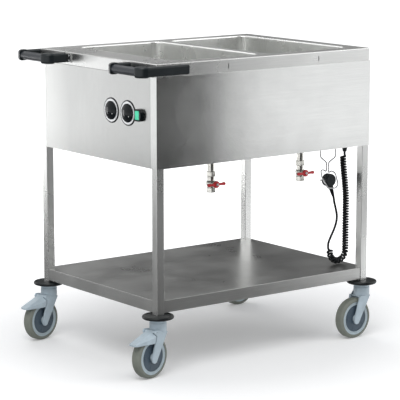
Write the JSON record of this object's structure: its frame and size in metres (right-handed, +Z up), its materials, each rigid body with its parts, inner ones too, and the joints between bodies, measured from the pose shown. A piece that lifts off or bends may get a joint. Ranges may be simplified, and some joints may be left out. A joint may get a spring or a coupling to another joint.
{
  "type": "hostess_trolley",
  "caption": "Stainless heated serving trolley: two deep wells, control panel, drain valves, U handles, lower shelf, curly cord and swivel casters, two with brake pedals",
  "frame": {"origin": "On the floor, under the middle of the whole trolley's box", "axes": "+X along the trolley away from the control end, +Z up"},
  "size_m": [0.9368, 0.668, 0.9],
  "materials": {
    "steel_sheet": "brushed",
    "heater_metal": "satin",
    "cream_plastic": "matte",
    "bezel_metal": "satin",
    "black_gloss": "gloss",
    "black_matte": "satin",
    "green_lens": "gloss",
    "grip_plastic": "satin",
    "black_rubber": "matte",
    "bolt_steel": "zinc plated",
    "pipe_metal": "nickel plated",
    "red_lever": "satin",
    "wire_metal": "bright",
    "cord_rubber": "satin",
    "caster_paint": "zinc grey satin",
    "wheel_plastic": "satin",
    "cover_plastic": "satin",
    "grey_tyre": "matte"
  },
  "bodies": {
    "cart": {"top_deck": "steel_sheet", "well_control_end": "steel_sheet", "well_far_end": "steel_sheet", "corner_posts": "steel_sheet", "side_panel_near": "steel_sheet", "side_panel_far": "steel_sheet", "control_panel": "steel_sheet", "end_panel": "steel_sheet", "base_pan": "steel_sheet", "well_heaters": "heater_metal", "thermostats": "cream_plastic", "knob_bezels": "bezel_metal", "switch_housing": "black_matte", "shelf": "steel_sheet", "handle_near": "black_matte", "handle_far": "black_matte", "handle_grips": "grip_plastic", "handle_steel": "steel_sheet", "corner_bumpers": "black_rubber", "caster_stems": "bolt_steel", "drain_pipes": "pipe_metal", "valve_body_1": "pipe_metal", "valve_body_2": "pipe_metal", "plug_holder": "wire_metal", "cord_gland": "black_matte", "cord_curl": "cord_rubber", "cord_tail": "cord_rubber", "strain_relief": "cord_rubber", "plug": "black_matte"},
    "knob_1": {"knob_1": "black_gloss"},
    "knob_2": {"knob_2": "black_gloss"},
    "switch_rocker": {"switch_rocker": "green_lens"},
    "valve_handle_1": {"valve_handle_1": "red_lever"},
    "valve_handle_2": {"valve_handle_2": "red_lever"},
    "caster_1": {"caster_fork_1": "caster_paint", "wheel_axle_1": "bolt_steel"},
    "wheel_1": {"wheel_rim_1": "wheel_plastic", "wheel_cover_1": "cover_plastic", "tyre_1": "grey_tyre"},
    "caster_2": {"caster_fork_2": "caster_paint", "wheel_axle_2": "bolt_steel"},
    "wheel_2": {"wheel_rim_2": "wheel_plastic", "wheel_cover_2": "cover_plastic", "tyre_2": "grey_tyre"},
    "caster_3": {"caster_fork_3": "caster_paint", "wheel_axle_3": "bolt_steel"},
    "wheel_3": {"wheel_rim_3": "wheel_plastic", "wheel_cover_3": "cover_plastic", "tyre_3": "grey_tyre"},
    "caster_4": {"caster_fork_4": "caster_paint", "wheel_axle_4": "bolt_steel"},
    "wheel_4": {"wheel_rim_4": "wheel_plastic", "wheel_cover_4": "cover_plastic", "tyre_4": "grey_tyre"},
    "pedal_1": {"brake_pedal_1": "caster_paint"},
    "pedal_2": {"brake_pedal_2": "caster_paint"}
  },
  "joints": [
    {"name": "swivel_1", "type": "hinge", "parent": "cart", "child": "caster_1", "pos_m": [-0.36012, -0.2875, 0.158], "axis": [0, 0, 1], "continuous": true},
    {"name": "roll_1", "type": "hinge", "parent": "caster_1", "child": "wheel_1", "pos_m": [-0.39632, -0.29519, 0.0625], "axis": [-0.2079, 0.9781, 0], "continuous": true},
    {"name": "brake_1", "type": "hinge", "parent": "caster_1", "child": "pedal_1", "pos_m": [-0.39143, -0.29415, 0.134], "axis": [0.2079, -0.9781, 0], "range_deg": [0, 5]},
    {"name": "swivel_2", "type": "hinge", "parent": "cart", "child": "caster_2", "pos_m": [-0.36012, 0.2875, 0.158], "axis": [0, 0, 1], "continuous": true},
    {"name": "roll_2", "type": "hinge", "parent": "caster_2", "child": "wheel_2", "pos_m": [-0.39632, 0.27981, 0.0625], "axis": [-0.2079, 0.9781, 0], "continuous": true},
    {"name": "brake_2", "type": "hinge", "parent": "caster_2", "child": "pedal_2", "pos_m": [-0.39143, 0.28085, 0.134], "axis": [0.2079, -0.9781, 0], "range_deg": [0, 5]},
    {"name": "swivel_3", "type": "hinge", "parent": "cart", "child": "caster_3", "pos_m": [0.42188, -0.2875, 0.158], "axis": [0, 0, 1], "continuous": true},
    {"name": "roll_3", "type": "hinge", "parent": "caster_3", "child": "wheel_3", "pos_m": [0.3849, -0.28879, 0.0625], "axis": [-0.0349, 0.9994, 0], "continuous": true},
    {"name": "swivel_4", "type": "hinge", "parent": "cart", "child": "caster_4", "pos_m": [0.42188, 0.2875, 0.158], "axis": [0, 0, 1], "continuous": true},
    {"name": "roll_4", "type": "hinge", "parent": "caster_4", "child": "wheel_4", "pos_m": [0.3849, 0.28621, 0.0625], "axis": [-0.0349, 0.9994, 0], "continuous": true},
    {"name": "knob_turn_1", "type": "hinge", "parent": "cart", "child": "knob_1", "pos_m": [-0.37162, -0.078, 0.749], "axis": [1, 0, 0], "range_deg": [0, 270]},
    {"name": "knob_turn_2", "type": "hinge", "parent": "cart", "child": "knob_2", "pos_m": [-0.37162, -0.161, 0.749], "axis": [1, 0, 0], "range_deg": [0, 270]},
    {"name": "rocker_tip", "type": "hinge", "parent": "cart", "child": "switch_rocker", "pos_m": [-0.37562, -0.221, 0.749], "axis": [0, 0, -1], "range_deg": [0, 16]},
    {"name": "valve_turn_1", "type": "hinge", "parent": "cart", "child": "valve_handle_1", "pos_m": [-0.11412, -0.239, 0.52604], "axis": [0, -1, 0], "range_deg": [0, 90]},
    {"name": "valve_turn_2", "type": "hinge", "parent": "cart", "child": "valve_handle_2", "pos_m": [0.22788, -0.239, 0.52604], "axis": [0, -1, 0], "range_deg": [0, 90]}
  ]
}
